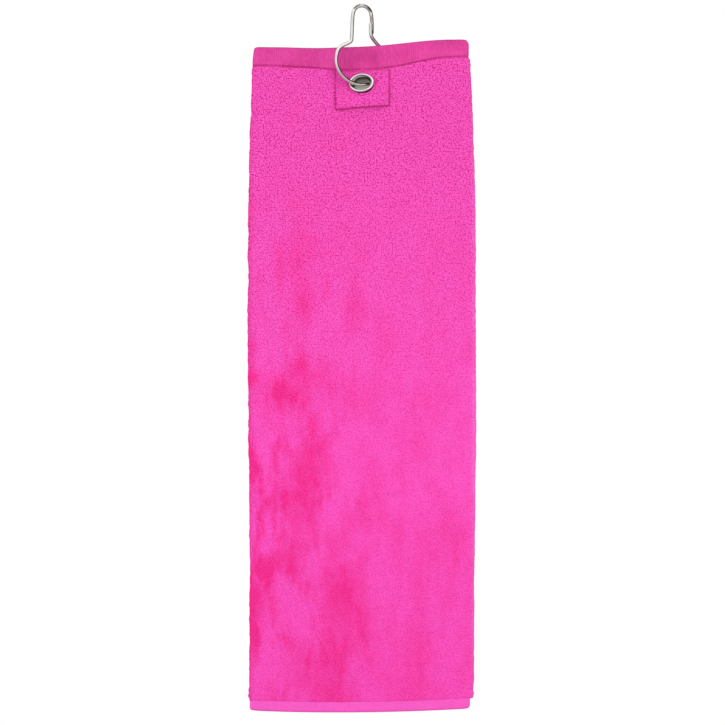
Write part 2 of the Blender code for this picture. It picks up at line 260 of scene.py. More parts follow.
def left_edge(z):
    """The front's left edge at height z."""
    wander = 0.35 * noise(0.0 * z, z, 9.0, 11) + 0.25 * noise(0.0 * z, z, 3.2, 12)
    depth, edge = zip(*LEFT_EDGE)
    return np.interp(-z, depth, edge) + wander - 0.9 * tuft(z, -516.8) - 0.5 * tuft(z, -512.6)


def right_edge(z):
    wander = 0.2 * noise(0.0 * z, z, 14.0, 13) + 0.15 * noise(0.0 * z, z, 3.5, 14)
    depth, edge = zip(*RIGHT_EDGE)
    return np.interp(-z, depth, edge) + wander + 0.6 * tuft(z, -516.8) + 0.5 * tuft(z, -43.0)


# ---------------------------------------------------------------- folded cloth


def run(start, stop, step):
    """Evenly spaced values from start up to but not including stop."""
    count = max(1, int(round(abs(stop - start) / step)))
    return start + (stop - start) * np.arange(count) / count


def fold_line(left, right, pitch, half):
    """The middle line of cloth folded in three, as a function of the length along it.

    It runs right in front, back left in the middle and right again behind.
    """
    turn = pitch / 2.0
    near = right - turn - half
    far = left + turn + half
    lengths = np.array([near - (left + half), math.pi * turn, near - far, math.pi * turn, right - half - far])
    ends = np.concatenate([[0.0], np.cumsum(lengths)])

    def place(s):
        s = np.asarray(s, float)
        k = np.clip(np.searchsorted(ends, s, side="right") - 1, 0, 4)
        t = s - ends[k]
        angle = t / turn
        x = np.select(
            [k == 0, k == 1, k == 2, k == 3],
            [left + half + t, near + turn * np.sin(angle), near - t, far - turn * np.sin(angle)],
            far + t,
        )
        y = np.select(
            [k == 0, k == 1, k == 2, k == 3],
            [-pitch + 0.0 * t, -turn - turn * np.cos(angle), 0.0 * t, turn - turn * np.cos(angle)],
            pitch + 0.0 * t,
        )
        dx = np.select(
            [k == 0, k == 1, k == 2, k == 3],
            [1 + 0 * t, np.cos(angle), -1 + 0 * t, -np.cos(angle)],
            1 + 0 * t,
        )
        dy = np.select([k == 1, k == 3], [np.sin(angle), np.sin(angle)], 0.0 * t)
        return x, y, dy, -dx

    return place, ends


def fold_section(left, right, pitch, half, fine, coarse, bend, middle_step=None):
    """The outline of the folded cloth's section, once round.

    Returns x, y, the normal's x and y, the length along the cloth, and how much each point
    shows, from 0 between the layers to 1 outside.
    """
    place, ends = fold_line(left, right, pitch, half)
    inner = middle_step or coarse
    near_hole = 14.0

    def hidden(a, b):
        """Steps for a stretch between the layers, closer together behind the eyelet."""
        x_a, x_b = place(a)[0], place(b)[0]
        sign = 1.0 if x_b > x_a else -1.0
        cuts = [x_a, -near_hole * sign, near_hole * sign, x_b]
        stretches = zip(cuts, cuts[1:], (coarse, inner, coarse))
        at = np.concatenate([run(begin, end, step) for begin, end, step in stretches])
        return a + np.abs(at - x_a)

    inside = [run(ends[1], ends[2], bend), hidden(ends[2], ends[3]), run(ends[3], ends[4], bend)]
    side_a = [run(ends[0], ends[1], fine), *inside, hidden(ends[4], ends[5])]
    side_b = [hidden(ends[0], ends[1]), *inside, run(ends[4], ends[5], fine)]
    cap = np.radians(np.linspace(0, 180, ROUND_END + 2))[1:-1]
    total = ends[5]
    s = np.concatenate(side_a + [[total]])
    x, y, nx, ny = place(s)
    shown_a = np.where(s < ends[2] - 0.01, 1.0, 0.0)
    s_b = np.concatenate(side_b + [[total]])[::-1]
    xb, yb, bx, by = place(s_b)
    shown_b = np.where(s_b > ends[3] + 0.01, 1.0, 0.0)
    xe, ye, _, _ = place(np.array([total]))
    xs, ys, _, _ = place(np.array([0.0]))
    end_x, end_nx, end_ny = xe + 0 * cap, np.sin(cap), -np.cos(cap)
    start_x, start_nx, start_ny = xs + 0 * cap, -np.sin(cap), np.cos(cap)
    return (
        np.concatenate([x, end_x, xb, start_x]),
        np.concatenate([y, ye + 0 * cap, yb, ys + 0 * cap]),
        np.concatenate([nx, end_nx, -bx, start_nx]),
        np.concatenate([ny, end_ny, -by, start_ny]),
        np.concatenate([s, total + 0 * cap, s_b, 0 * cap]),
        np.concatenate([shown_a, 1 + 0 * cap, shown_b, 1 + 0 * cap]),
    )


def section_lid(s):
    """Faces that close a folded section: triangles between its two sides, and its round ends."""
    turn = int(np.argmax(s))
    side_a = list(range(turn + 1))
    far_end = turn + ROUND_END + 1
    side_b = list(range(far_end, len(s) - ROUND_END))[::-1]
    faces = []
    i = j = 0
    while i < len(side_a) - 1 or j < len(side_b) - 1:
        a, b = side_a[i], side_b[j]
        next_a = s[side_a[i + 1]] if i < len(side_a) - 1 else math.inf
        next_b = s[side_b[j + 1]] if j < len(side_b) - 1 else math.inf
        if next_a <= next_b:
            i += 1
            faces.append([a, side_a[i], b])
        else:
            j += 1
            faces.append([a, side_b[j], b])
    faces.append(list(range(turn, far_end + 1)))
    faces.append([0] + side_b[:1] + list(range(len(s) - ROUND_END, len(s))))
    return faces


def edge_rows(first, last, step, tuck):
    """Shares of the height from 0 to 1 with a rounded edge at both ends, and the thickness at each."""
    length = abs(last - first)
    close = tuck * (1 - np.cos(np.radians([0, 18, 36, 54, 72])))
    inside = run(tuck, length - tuck, step)
    depth = np.concatenate([close, inside, length - close[::-1]])
    from_edge = np.minimum(depth, length - depth)
    share = np.sqrt(np.clip(1 - (1 - np.clip(from_edge / tuck, 0, 1)) ** 2, 0, 1))
    return depth / length, np.maximum(share, 0.06)


def folded_cloth(name, section, rows, top, foot, half, finish, height, shape, hole=0.0, with_painted_shade=None):
    """Sweeps a folded section down from top(x) to foot(x).

    height(s, z, shown) gives the pile's height off the cloth, and shape(x, y, z) the place
    that each point of the straight towel moves to. One edge, chosen by the last argument, gets a painted
    shade line.
    """
    x, y, nx, ny, s, shown = section
    v, share = rows
    columns = len(x)
    shape_x = np.broadcast_to(x, (len(v), columns))
    z = top(x)[None, :] * (1 - v[:, None]) + foot(x)[None, :] * v[:, None]
    lift = height(np.broadcast_to(s, z.shape), z, shown[None, :])
    out = half * share[:, None] + lift * np.minimum(1.0, share[:, None] * 1.3)
    points = np.stack([shape_x + nx[None, :] * out, y[None, :] + ny[None, :] * out, z], axis=-1)
    moved = shape(points[..., 0], points[..., 1], points[..., 2])
    faces = grid_faces(len(v), columns, closed=True)
    flat_points = moved.reshape(-1, 3)
    if hole:
        reach = np.hypot(flat_points[:, 0] - EYELET[0], (flat_points[:, 2] - EYELET[2]) / EYELET_OVAL)
        faces = faces[~(reach[faces] < hole).any(axis=1)]
    lid = section_lid(s)
    low = (len(v) - 1) * columns
    polygons = faces.tolist() + lid + [[low + i for i in face[::-1]] for face in lid]
    # Painted shade: the tone is lower where the pile is low, in the hollows between loops, and falls off
    # towards the edge chosen for a painted shade line.
    tone = np.clip((lift - PILE_LOWEST) / (PILE_HIGHEST - PILE_LOWEST), 0, 1)
    if with_painted_shade is not None:
        depth = np.minimum(v, 1 - v) * abs(float(top(0.0)) - float(foot(0.0)))
        tone = tone * np.where((v < 0.5) == (with_painted_shade == "top"), smooth((depth + 0.1) / 1.3), 1.0)[:, None]
    return new_mesh(name, flat_points, polygons, finish, {"pile": tone})


def towel_shape(x, y, z):
    """Moves the straight folded towel to the real one: its outline, waves and dish."""
    width = CLOTH_HIGH[0] - CLOTH_LOW[0]
    share = (x - CLOTH_LOW[0]) / width
    to_x = left_edge(z) + share * (right_edge(z) - left_edge(z))
    squeezed = y * half_thickness(x, z, PILE_HALF) / PILE_HALF
    to_y = middle(x, z) + squeezed + sway(x, z) + np.where(y < 0, 1.0, -0.6) * crease(x, z) * 0.6
    down = smooth((-z - 200.0) / 320.0)
    return np.stack([to_x, to_y, z + down * bottom_bow(x)], axis=-1)


def pile_height(s, z, shown):
    """Loops in wavering weft rows, more worn and matted lower down."""
    matted = smooth((-z - 170.0) / 150.0)
    loops = 1.2 * noise(s, z, 0.8, 21) - 0.35 * noise(s, z, 2.4, 21)
    rows = np.sin(2 * math.pi * (z + 0.35 * noise(s, z, 9.0, 23)) / 1.9)
    clumps = noise(s, z, 4.2, 24, 0.8)
    height = (1.0 - 0.4 * matted) * (0.17 * loops + 0.04 * rows) + (0.01 + 0.04 * matted) * clumps
    return shown * height


# ---------------------------------------------------------------- materials

WHITE = (1.0, 1.0, 1.0)


def nodes_of(name):
    made = bpy.data.materials.new(name)
    made.use_nodes = True
    tree = made.node_tree
    return made, tree, tree.nodes["Principled BSDF"]


def add(tree, kind, **values):
    node = tree.nodes.new(kind)
    for key, value in values.items():
        if key in node.inputs:
            node.inputs[key].default_value = value
        else:
            setattr(node, key, value)
    return node


def noise_node(tree, coords, scale, detail=3.0, stretch=(1.0, 1.0, 1.0)):
    mapping = add(tree, "ShaderNodeMapping")
    mapping.inputs["Scale"].default_value = stretch
    tree.links.new(coords, mapping.inputs["Vector"])
    made = add(tree, "ShaderNodeTexNoise", Scale=scale, Detail=detail)
    tree.links.new(mapping.outputs["Vector"], made.inputs["Vector"])
    return made.outputs["Fac"]


def ramp(tree, value, stops):
    made = tree.nodes.new("ShaderNodeValToRGB")
    elements = made.color_ramp.elements
    while len(elements) < len(stops):
        elements.new(0.5)
    for element, (place, colour) in zip(elements, stops):
        element.position = place
        element.color = (*colour, 1.0) if len(colour) == 3 else colour
    tree.links.new(value, made.inputs["Fac"])
    return made.outputs["Color"]


def mix(tree, factor, a, b, kind="MIX"):
    made = add(tree, "ShaderNodeMix", data_type="RGBA", blend_type=kind)
    for value, socket in ((factor, made.inputs[0]), (a, made.inputs[6]), (b, made.inputs[7])):
        if isinstance(value, (int, float)):
            socket.default_value = value
        elif isinstance(value, tuple):
            socket.default_value = (*value, 1.0)
        else:
            tree.links.new(value, socket)
    return made.outputs[2]


def share_of(tree, value, low, high):
    """The value as a share of the way from low to high, clamped to 0..1."""
    made = add(tree, "ShaderNodeMapRange")
    made.inputs["From Min"].default_value = low
    made.inputs["From Max"].default_value = high
    tree.links.new(value, made.inputs["Value"])
    return made.outputs["Result"]


def maths(tree, operation, *values):
    made = add(tree, "ShaderNodeMath", operation=operation)
    for value, socket in zip(values, made.inputs):
        if isinstance(value, (int, float)):
            socket.default_value = value
        else:
            tree.links.new(value, socket)
    return made.outputs[0]


def times(tree, a, b):
    return maths(tree, "MULTIPLY", a, b)


def add_values(tree, a, b, share_a, share_b, least):
    """least plus a share of each value."""
    return maths(tree, "MULTIPLY_ADD", a, share_a, maths(tree, "MULTIPLY_ADD", b, share_b, least))


def srgb(r, g, b):
    """Linear values of a colour given as 0..255."""
    return tuple((c / 255 / 12.92) if c <= 10 else ((c / 255 + 0.055) / 1.055) ** 2.4 for c in (r, g, b))


def pile_material():
    """Dyed cotton pile: redder where it leans away, lilac where it catches the light."""
    made, tree, shader = nodes_of("pile")
    place = add(tree, "ShaderNodeTexCoord").outputs["Object"]
    split = add(tree, "ShaderNodeSeparateXYZ")
    tree.links.new(place, split.inputs[0])
    base = ramp(
        tree,
        share_of(tree, split.outputs["Z"], -0.05, -0.52),
        [
            (0.0, srgb(241, 85, 185)),
            (0.3, srgb(248, 88, 192)),
            (0.65, srgb(255, 87, 195)),
            (1.0, srgb(255, 82, 191)),
        ],
    )
    nap = noise_node(tree, place, 34.0, 5.0, (1.0, 1.0, 0.55))
    patches = ramp(tree, nap, [(0.42, (0.0, 0.0, 0.0)), (0.70, (0.8, 0.8, 0.8))])
    streaks = noise_node(tree, place, 110.0, 4.0, (1.0, 1.0, 0.35))
    streak = ramp(tree, streaks, [(0.46, (0.0, 0.0, 0.0)), (0.70, (0.5, 0.5, 0.5))])
    lower = share_of(tree, split.outputs["Z"], -0.10, -0.34)
    left = share_of(tree, split.outputs["X"], 0.01, -0.085)
    lower_left = times(tree, lower, left)
    strength = add_values(tree, lower, lower_left, share_a=0.4, share_b=1.5, least=0.12)
    leaning = times(tree, mix(tree, 1.0, patches, streak, "ADD"), strength)
    # Painted sheen: a lighter lilac strip along the right-hand fold.
    fold_painted_sheen = times(tree, share_of(tree, split.outputs["X"], 0.0815, 0.0855), 0.75)
    at_free_edge = times(tree, share_of(tree, split.outputs["X"], -0.0805, -0.0850), 0.5)
    body = mix(tree, fold_painted_sheen, base, srgb(255, 124, 222))
    body = mix(tree, at_free_edge, body, srgb(222, 62, 152))
    toned = mix(tree, leaning, body, srgb(247, 50, 148))
    # Painted shade: this ramp darkens the colour where the pile attribute is low, in the hollows between
    # loops, round the eyelet's flange and along painted-shade edges; the seams are darker too.
    attribute = add(tree, "ShaderNodeAttribute", attribute_name="pile")
    depth = ramp(
        tree,
        maths(tree, "MULTIPLY_ADD", attribute.outputs["Fac"], 0.5, 0.5),
        [
            (0.1, (0.62, 0.24, 0.40)),
            (0.5, (0.78, 0.44, 0.60)),
            (0.6, (0.88, 0.68, 0.84)),
            (0.75, (0.97, 0.95, 0.97)),
            (0.95, WHITE),
        ],
    )
    with_painted_shade = mix(tree, 0.85, toned, depth, "MULTIPLY")
    onto_cloth = add(tree, "ShaderNodeCombineXYZ")
    tree.links.new(maths(tree, "ADD", split.outputs["X"], split.outputs["Y"]), onto_cloth.inputs["X"])
    tree.links.new(split.outputs["Z"], onto_cloth.inputs["Y"])
    cells = add(tree, "ShaderNodeTexVoronoi", voronoi_dimensions="2D", Scale=860.0, Randomness=0.8)
    tree.links.new(onto_cloth.outputs["Vector"], cells.inputs["Vector"])
    fibre = noise_node(tree, place, 1500.0, 2.0)
    loop = maths(tree, "MULTIPLY_ADD", fibre, 0.5, cells.outputs["Distance"])
    fleck = ramp(
        tree, loop, [(0.40, (1.04, 1.34, 1.16)), (0.64, (0.99, 0.98, 0.99)), (0.88, (0.74, 0.28, 0.52))]
    )
    raised = maths(tree, "MULTIPLY_ADD", lower, -0.62, 1.0)
    flecked = mix(tree, 1.0, with_painted_shade, fleck, "MULTIPLY")
    tree.links.new(mix(tree, raised, with_painted_shade, flecked), shader.inputs["Base Color"])
    bump = add(tree, "ShaderNodeBump", Strength=0.5, Distance=0.0006)
    tree.links.new(maths(tree, "SUBTRACT", 1.0, loop), bump.inputs["Height"])
    tree.links.new(bump.outputs["Normal"], shader.inputs["Normal"])
    shader.inputs["Roughness"].default_value = 0.95
    shader.inputs["Specular IOR Level"].default_value = 0.1
    shader.inputs["Sheen Weight"].default_value = 0.3
    shader.inputs["Sheen Roughness"].default_value = 0.35
    shader.inputs["Sheen Tint"].default_value = (1.0, 0.42, 0.85, 1.0)
    return made


def woven_material(name, colour, dark, grain):
    """Flat-woven cotton: its ribs are in the mesh, and its yarn in the nodes."""
    made, tree, shader = nodes_of(name)
    place = add(tree, "ShaderNodeTexCoord").outputs["Object"]
    attribute = add(tree, "ShaderNodeAttribute", attribute_name="pile")
    # Painted shade: darker where the pile attribute is low, between the ribs and along the edge given a
    # painted shade line; the seam groove is darker too.
    depth = ramp(tree, attribute.outputs["Fac"], [(0.1, dark), (0.75, colour)])
    patches = noise_node(tree, place, 40.0, 3.0, (1.0, 1.0, 1.6))
    worn = ramp(tree, patches, [(0.35, (0.92, 0.86, 0.90)), (0.65, WHITE)])
    toned = mix(tree, 0.5, depth, worn, "MULTIPLY")
    yarn = noise_node(tree, place, grain, 2.0, (1.0, 1.0, 2.2))
    between = ramp(tree, yarn, [(0.3, (0.88, 0.80, 0.84)), (0.62, WHITE)])
    tree.links.new(mix(tree, 0.6, toned, between, "MULTIPLY"), shader.inputs["Base Color"])
    bump = add(tree, "ShaderNodeBump", Strength=0.35, Distance=0.0003)
    tree.links.new(yarn, bump.inputs["Height"])
    tree.links.new(bump.outputs["Normal"], shader.inputs["Normal"])
    shader.inputs["Roughness"].default_value = 0.85
    shader.inputs["Specular IOR Level"].default_value = 0.2
    shader.inputs["Sheen Weight"].default_value = 0.08
    return made


def nickel_material():
    made, tree, shader = nodes_of("nickel")
    place = add(tree, "ShaderNodeTexCoord").outputs["Object"]
    cloudy = noise_node(tree, place, 220.0, 3.0)
    tone = ramp(tree, cloudy, [(0.3, (0.65, 0.63, 0.595)), (0.7, (0.76, 0.745, 0.715))])
    # Painted shade and painted reflection: a per-point brightness attribute darkens the eyelet's throat, the
    # metal under its rim and parts of the wire.
    painted_brightness = add(tree, "ShaderNodeAttribute", attribute_name="painted_brightness")
    painted_dark_stops = [(0.0, (0.06, 0.05, 0.04)), (0.5, (0.42, 0.42, 0.38)), (1.0, WHITE)]
    painted_dark = ramp(tree, painted_brightness.outputs["Fac"], painted_dark_stops)
    tree.links.new(mix(tree, 1.0, tone, painted_dark, "MULTIPLY"), shader.inputs["Base Color"])
    rough = add(tree, "ShaderNodeMapRange")
    rough.inputs["To Min"].default_value = 0.07
    rough.inputs["To Max"].default_value = 0.2
    tree.links.new(noise_node(tree, place, 500.0, 4.0), rough.inputs["Value"])
    tree.links.new(rough.outputs["Result"], shader.inputs["Roughness"])
    bump = add(tree, "ShaderNodeBump", Strength=0.05, Distance=0.0002)
    tree.links.new(noise_node(tree, place, 900.0, 2.0), bump.inputs["Height"])
    tree.links.new(bump.outputs["Normal"], shader.inputs["Normal"])
    shader.inputs["Metallic"].default_value = 1.0
    return made


PILE = pile_material()
BAND = woven_material("woven_band", srgb(243, 82, 174), srgb(186, 44, 124), 1100.0)
HEM = woven_material("hem_band", srgb(255, 102, 208), srgb(250, 84, 192), 900.0)
THREAD = woven_material("thread", srgb(206, 48, 136), srgb(150, 24, 94), 2000.0)
NICKEL = nickel_material()


# ---------------------------------------------------------------- towel


def make_cloth():
    section = fold_section(
        CLOTH_LOW[0], CLOTH_HIGH[0], PILE_PITCH, PILE_LAYER_HALF,
        fine=0.85, coarse=6.0, bend=0.5, middle_step=1.5,
    )
    rows = edge_rows(BAND_FOOT, PILE_FOOT, step=0.85, tuck=1.3)
    cloth = folded_cloth(
        "pile_cloth", section, rows, lambda x: band_foot(x) - 0.15, lambda x: PILE_FOOT + 0.0 * x,
        PILE_LAYER_HALF, PILE, pile_height, towel_shape, CLOTH_HOLE,
    )
    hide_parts("towel_cloth")
    return cloth


def make_band():
    def ribs(s, z, shown):
        rib = 0.07 * np.sin(2 * math.pi * (s + 0.5 * noise(s, z, 16.0, 31)) / 1.45)
        slub = 0.08 * noise(s, z, 0.8, 32, 2.5)
        from_seam = z - band_foot(s + BAND_LOW[0]) - SEAM_ABOVE_FOOT
        drawn_in = np.exp(-((from_seam / 0.5) ** 2)) * (0.9 + 0.4 * noise(s, z, 2.2, 37))
        return shown * (rib + slub + 0.08 * noise(s, z, 9.0, 33) - 0.35 * drawn_in)

    def shape(x, y, z):
        squeezed = y * half_thickness(x, z, BAND_HALF) / BAND_HALF
        up = smooth((z - band_foot(x)) / (band_top(x) - band_foot(x)))
        # The top corners are rounded. The edge is higher at its left end and beside the clip.
        from_end = np.minimum(x - BAND_LOW[0], BAND_HIGH[0] - x)
        sag = 0.35 * noise(x, 0.0 * z, 30.0, 34)
        sag = sag - np.where(x < 0, 2.2, 3.4) * up**3 * np.exp(-np.maximum(from_end, 0.0) / 1.2)
        sag = sag + up * (1.2 * np.exp((BAND_LOW[0] - x) / 12.0) + 0.45 * np.exp(-(((x + 12.0) / 18.0) ** 2)))
        # The left end slants, and no end is quite straight.
        slant = (1.2 * up - 0.5) * np.exp((BAND_LOW[0] - x) / 30.0) + 0.25 * noise(x * 0, z, 6.0, 35)
        return np.stack([x + slant, middle(x, z) + squeezed + 0.25 * noise(x, z, 24.0, 36), z + sag], axis=-1)

    section = fold_section(
        BAND_LOW[0], BAND_HIGH[0], BAND_PITCH, BAND_LAYER_HALF, fine=0.36, coarse=6.0, bend=0.35
    )
    rows = edge_rows(BAND_TOP, BAND_FOOT, step=0.7, tuck=END_TUCK)
    band = folded_cloth(
        "woven_top_band", section, rows, band_top, lambda x: band_foot(x) - 1.8,
        BAND_LAYER_HALF, BAND, ribs, shape, with_painted_shade="top",
    )
    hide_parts("top_hem")
    return band


def make_hem():
    def weave(s, z, shown):
        ribs = 0.04 * np.sin(2 * math.pi * s / 1.6)
        return shown * (0.07 * noise(s, z, 1.3, 41) + 0.05 * noise(s, z, 5.0, 42) + ribs)

    def shape(x, y, z):
        low = smooth((PILE_FOOT - 2.0 - z) / 5.0)
        # The bottom corners are rounded, the right one more, and the left end is a little higher.
        left, right = np.maximum(x - HEM_LOW[0], 0.0), np.maximum(HEM_HIGH[0] - x, 0.0)
        corner = low * (0.8 * np.exp(-left / 1.3) + 0.5 * np.exp(-left / 8.0) + 1.7 * np.exp(-right / 1.3))
        return np.stack([x, 1.15 * y + sway(x, z), z + bottom_bow(x) + corner], axis=-1)

    section = fold_section(
        HEM_LOW[0], HEM_HIGH[0], HEM_PITCH, HEM_LAYER_HALF, fine=0.6, coarse=6.0, bend=0.4
    )
    rows = edge_rows(PILE_FOOT, HEM_LOW[2], step=0.55, tuck=END_TUCK)
    hem = folded_cloth(
        "bottom_hem_band", section, rows, lambda x: PILE_FOOT + 1.5 + 0 * x, lambda x: HEM_LOW[2] + 0 * x,
        HEM_LAYER_HALF, HEM, weave, shape, with_painted_shade="foot",
    )
    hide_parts("bottom_hem")
    return hem


def patch_foot(x):
    share = (x - PATCH_LEFT) / (PATCH_RIGHT - PATCH_LEFT)
    return PATCH_FOOT_LEFT + (PATCH_FOOT_RIGHT - PATCH_FOOT_LEFT) * share


def patch_back(x, z):
    return middle(x, z) - half_thickness(x, z, PILE_HALF)


def make_patch():
    """A square of the same pile cloth with its edges turned down to the towel."""
    step = 0.55
    across = np.concatenate([run(PATCH_LEFT, PATCH_RIGHT, step), [PATCH_RIGHT]])
    down = np.concatenate([run(0.0, 1.0, step / 30.0), [1.0]])
    x, v = np.meshgrid(across, down)
    top = band_foot(x) - 0.3
    z = top + (patch_foot(x) - top) * v
    wander = 0.35 * noise(x, z, 6.0, 51)
    rim = np.minimum.reduce([x - PATCH_LEFT, PATCH_RIGHT - x, z - patch_foot(x), 0.9 + top - z])
    round_edge = np.sqrt(np.clip(1 - (1 - np.clip(rim / 0.8, 0, 1)) ** 2, 0, 1))
    share = 1.0 - (1.0 - PATCH_PINCHED) * pinch(x, z)
    oval = np.hypot(x - EYELET[0], (z - EYELET[2]) / EYELET_OVAL)
    # A groove pressed round the flange; the tone also gets a painted shade ring there.
    pressed_groove_and_shade = np.exp(-(((oval - FLANGE_RADIUS - 0.5) / 0.8) ** 2))
    seam = np.exp(-(((rim - 0.5) / 0.5) ** 2)) * (0.9 + 0.5 * noise(x, z, 2.2, 52))
    lift = pile_height(x + 300.0, z, 1.0) * (0.35 + 0.65 * (1 - pinch(x, z) * 0.5)) * round_edge
    thick = (PATCH_THICKNESS + PATCH_LIFT) * share * round_edge - 0.7 * seam - 0.6 * pressed_groove_and_shade
    face = patch_back(x, z) - thick - lift
    back = patch_back(x, z) + 0.5
    front_points = np.stack([x + 0.4 * wander * (rim < 2), face, z], axis=-1)
    back_points = np.stack([x, back, z], axis=-1)
    rows, columns = x.shape
    count = rows * columns
    quads = grid_faces(rows, columns)
    points = np.concatenate([front_points.reshape(-1, 3), back_points.reshape(-1, 3)])
    reach = np.hypot(points[:, 0] - EYELET[0], (points[:, 2] - EYELET[2]) / EYELET_OVAL)
    kept = quads[~(reach[quads] < CLOTH_HOLE).any(axis=1)]
    ring = np.concatenate(
        [np.arange(columns), np.arange(1, rows) * columns + columns - 1,
         (rows - 1) * columns + np.arange(columns - 2, -1, -1), np.arange(rows - 2, 0, -1) * columns]
    )
    after = np.roll(ring, -1)
    sides = np.stack([ring, after, after + count, ring + count], axis=-1)
    faces = np.concatenate([kept, kept[:, ::-1] + count, sides])
    depth = (lift.ravel() - PILE_LOWEST) / (PILE_HIGHEST - PILE_LOWEST)
    # Tone: painted shade in the pile's hollows and round the flange, and a darker line along the seam.
    tone = np.clip(depth, 0, 1) - (1.3 * seam + 0.35 * pressed_groove_and_shade).ravel()
    patch = new_mesh("sewn_square", points, faces.tolist(), PILE, {"pile": np.concatenate([tone, tone])})
    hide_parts("eyelet_patch")
    return patch


# ---------------------------------------------------------------- thread


def stitch_points(path, radius, length, pitch, normal):
    """Rows of short sunken stitches along a path, each a small spindle."""
    path = np.asarray(path, float)
    along = np.concatenate([[0], np.cumsum(np.linalg.norm(np.diff(path, axis=0), axis=1))])
    count = max(1, int(along[-1] / pitch))
    rings, sides = 5, 6
    points, faces = [], []
    for i in range(count):
        mid = (i + 0.5) * along[-1] / count
        spots = np.linspace(mid - length / 2, mid + length / 2, rings)
        base = len(points)
        centre = np.stack([np.interp(spots, along, path[:, k]) for k in range(3)], axis=1)
        heading = centre[-1] - centre[0]
        heading /= np.linalg.norm(heading)
        side = np.cross(heading, normal)
        side /= np.linalg.norm(side)
        for k, spot in enumerate(centre):
            t = 2 * k / (rings - 1) - 1
            swell = radius * max(0.35, math.sqrt(max(0.0, 1 - t * t)))
            dip = 0.35 * t * t
            for j in range(sides):
                a = 2 * math.pi * j / sides
                points.append(spot + side * swell * math.cos(a) + normal * (swell * math.sin(a) - dip))
        for k in range(rings - 1):
            for j in range(sides):
                a = base + k * sides + j
                b = base + k * sides + (j + 1) % sides
                faces.append([a, b, b + sides, a + sides])
        faces.append([base + j for j in range(sides)][::-1])
        faces.append([base + (rings - 1) * sides + j for j in range(sides)])
    return points, faces


def make_stitches(name, node, path, normal, radius=0.32, length=2.6, pitch=2.8):
    points, faces = stitch_points(path, radius, length, pitch, np.array(normal, float))
    thread = new_mesh(name, points, faces, THREAD, {"pile": np.full(len(points), 0.6)})
    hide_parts(node)
    return thread


def make_threads():
    made = []
    xs = np.linspace(BAND_LOW[0] + 1.5, BAND_HIGH[0] - 1.5, 120)
    for side, label in ((-1, "needle"), (1, "bobbin")):
        z = band_foot(xs) + SEAM_ABOVE_FOOT + 0.35 * noise(xs, 0 * xs, 30.0, 34)
        y = middle(xs, z) + side * (half_thickness(xs, z, BAND_HALF) - 0.1)
        path = np.stack([xs, y, z], axis=1)
        made.append(make_stitches(f"top_{label}_stitches", f"top_hem_{label}_thread", path, (0, side, 0)))
    xs = np.linspace(HEM_LOW[0] + 1.5, HEM_HIGH[0] - 1.5, 120)
    thin = 0.2
    for side, label in ((-1, "needle"), (1, "bobbin")):
        z = PILE_FOOT - 1.2 + bottom_bow(xs)
        y = sway(xs, z) + side * 3.75
        path = np.stack([xs, y, z], axis=1)
        name, node = f"hem_{label}_stitches", f"bottom_hem_{label}_thread"
        made.append(make_stitches(name, node, path, (0, side, 0), thin))
    inset = 0.5
    left, right = PATCH_LEFT + inset, PATCH_RIGHT - inset
    foot_inset = inset - 0.4
    corners = np.array(
        [
            [left, float(band_foot(left)) - 1.0],
            [left, patch_foot(left) + foot_inset],
            [right, patch_foot(right) + foot_inset],
            [right, float(band_foot(right)) - 1.0],
        ]
    )
    part_way = np.linspace(0, 1, 20, endpoint=False)[:, None]
    lines = [a + (b - a) * part_way for a, b in zip(corners, corners[1:])]
    x, z = np.concatenate(lines + [corners[-1:]]).T
    share = 1.0 - (1.0 - PATCH_PINCHED) * pinch(x, z)
    front = patch_back(x, z) - (PATCH_THICKNESS + PATCH_LIFT) * share + 0.45
    behind = middle(x, z) + half_thickness(x, z, PILE_HALF) + 0.05
    for label, y, side in (("needle", front, -1), ("bobbin", behind, 1)):
        path = np.stack([x, y, z], axis=1)
        made.append(make_stitches(f"patch_{label}_stitches", f"patch_{label}_thread", path, (0, side, 0)))
    return made


# ---------------------------------------------------------------- eyelet


def eyelet_matrix():
    turn = Euler((math.pi / 2 - EYELET_PITCH, 0.0, -EYELET_YAW)).to_matrix().to_4x4()
    return np.array(Matrix.Translation(Vector(EYELET)) @ turn)


def turned(name, profile, painted_brightness, steps, finish):
    """A closed profile of (radius, height) turned about the eyelet's axis, with a painted brightness for each
    point, lower where shade is painted.
    """
    profile = np.array(profile, float)
    angles = 2 * math.pi * np.arange(steps) / steps
    points = np.stack(
        [
            np.outer(np.cos(angles), profile[:, 0]),
            EYELET_OVAL * np.outer(np.sin(angles), profile[:, 0]),
            np.broadcast_to(profile[:, 1], (steps, len(profile))),
            np.ones((steps, len(profile))),
        ],
        axis=-1,
    ).reshape(-1, 4)
    points = (points @ eyelet_matrix().T)[:, :3]
    n = len(profile)
    faces = []
    for i in range(steps):
        for j in range(n):
            a, b = i * n + j, i * n + (j + 1) % n
            c, d = (i + 1) % steps * n + (j + 1) % n, (i + 1) % steps * n + j
            faces.append([a, b, c, d])
    return new_mesh(name, points, faces, finish, {"painted_brightness": np.tile(painted_brightness, steps)})


def arc_profile(centre, radii, first, last, count):
    """Points of (radius, height) on an oval arc, in degrees."""
    a = np.radians(np.linspace(first, last, count))
    return [(centre[0] + radii[0] * math.cos(t), centre[1] + radii[1] * math.sin(t)) for t in a]


